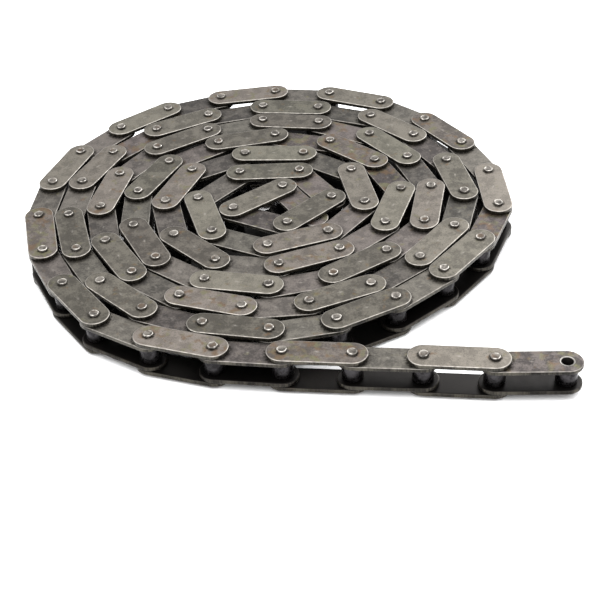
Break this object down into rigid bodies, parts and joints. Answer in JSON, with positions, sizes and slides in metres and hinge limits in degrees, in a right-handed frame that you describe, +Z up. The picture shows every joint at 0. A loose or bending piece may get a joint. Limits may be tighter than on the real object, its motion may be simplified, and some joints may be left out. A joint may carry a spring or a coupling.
{
  "type": "roller chain coil",
  "caption": "Flat-wound coil of double-pitch conveyor roller chain, lying on its side, with a straight free end of hinged links.",
  "frame": {"origin": "middle of the footprint, at the floor that the lower pin heads stand on", "axes": "+Z up along the pins, +X along the straight free end, towards its open bush; the coil lies to +Y of the free end"},
  "size_m": [0.2792, 0.2518, 0.0207],
  "materials": {
    "coil_steel": "oiled bare steel, worn bright on the edges",
    "outer_plate_steel": "oiled bare steel, worn bright on the edges",
    "inner_plate_steel": "oiled bare steel, a little darker",
    "pin_steel": "riveted bright-edged ends",
    "bush_steel": "dark oiled steel",
    "roller_steel": "dark smooth oiled steel"
  },
  "bodies": {
    "coil": {"coil_links_01_to_04": "coil_steel", "coil_links_05_to_08": "coil_steel", "coil_links_09_to_12": "coil_steel", "coil_links_13_to_16": "coil_steel", "coil_links_17_to_20": "coil_steel", "coil_links_21_to_24": "coil_steel", "coil_links_25_to_28": "coil_steel", "coil_links_29_to_32": "coil_steel", "coil_links_33_to_36": "coil_steel", "coil_links_37_to_40": "coil_steel", "coil_links_41_to_44": "coil_steel", "coil_links_45_to_46": "coil_steel", "coil_links_47_to_48": "coil_steel", "coil_links_49_to_50": "coil_steel", "coil_links_51_to_52": "coil_steel", "coil_links_53_to_54": "coil_steel", "coil_links_55_to_56": "coil_steel", "coil_links_57_to_58": "coil_steel", "coil_links_59_to_60": "coil_steel", "coil_links_61_to_62": "coil_steel", "coil_links_63_to_64": "coil_steel", "coil_links_65_to_66": "coil_steel", "coil_links_67_to_68": "coil_steel", "coil_links_69_to_70": "coil_steel", "coil_links_71_to_72": "coil_steel", "coil_links_73_to_74": "coil_steel", "coil_links_75_to_76": "coil_steel", "coil_links_77_to_78": "coil_steel", "coil_links_79_to_80": "coil_steel", "coil_links_81_to_82": "coil_steel", "coil_links_83_to_84": "coil_steel", "coil_links_85_to_86": "coil_steel", "coil_links_87_to_88": "coil_steel", "coil_links_89_to_90": "coil_steel"},
    "link_91": {"inner_plate_91_lower": "inner_plate_steel", "inner_plate_91_upper": "inner_plate_steel", "bush_90": "bush_steel", "roller_90": "roller_steel", "bush_91": "bush_steel", "roller_91": "roller_steel"},
    "link_92": {"outer_plate_92_lower": "outer_plate_steel", "outer_plate_92_upper": "outer_plate_steel", "pin_91": "pin_steel", "pin_92": "pin_steel"},
    "link_93": {"inner_plate_93_lower": "inner_plate_steel", "inner_plate_93_upper": "inner_plate_steel", "bush_92": "bush_steel", "roller_92": "roller_steel", "bush_93": "bush_steel", "roller_93": "roller_steel"},
    "link_94": {"outer_plate_94_lower": "outer_plate_steel", "outer_plate_94_upper": "outer_plate_steel", "pin_93": "pin_steel", "pin_94": "pin_steel"},
    "link_95": {"inner_plate_95_lower": "inner_plate_steel", "inner_plate_95_upper": "inner_plate_steel", "bush_94": "bush_steel", "roller_94": "roller_steel", "bush_95": "bush_steel", "roller_95": "roller_steel"}
  },
  "joints": [
    {"name": "hinge_90", "type": "hinge", "parent": "coil", "child": "link_91", "pos_m": [-0.02649, -0.11524, 0.01035], "axis": [0, 0, 1], "range_deg": [-45, 0]},
    {"name": "hinge_91", "type": "hinge", "parent": "link_91", "child": "link_92", "pos_m": [0.00522, -0.11688, 0.01035], "axis": [0, 0, 1], "range_deg": [-45, 8]},
    {"name": "hinge_92", "type": "hinge", "parent": "link_92", "child": "link_93", "pos_m": [0.03696, -0.11745, 0.01035], "axis": [0, 0, 1], "range_deg": [-45, 12]},
    {"name": "hinge_93", "type": "hinge", "parent": "link_93", "child": "link_94", "pos_m": [0.06871, -0.11773, 0.01035], "axis": [0, 0, 1], "range_deg": [-45, 18]},
    {"name": "hinge_94", "type": "hinge", "parent": "link_94", "child": "link_95", "pos_m": [0.10045, -0.11852, 0.01035], "axis": [0, 0, 1], "range_deg": [-45, 30]}
  ]
}
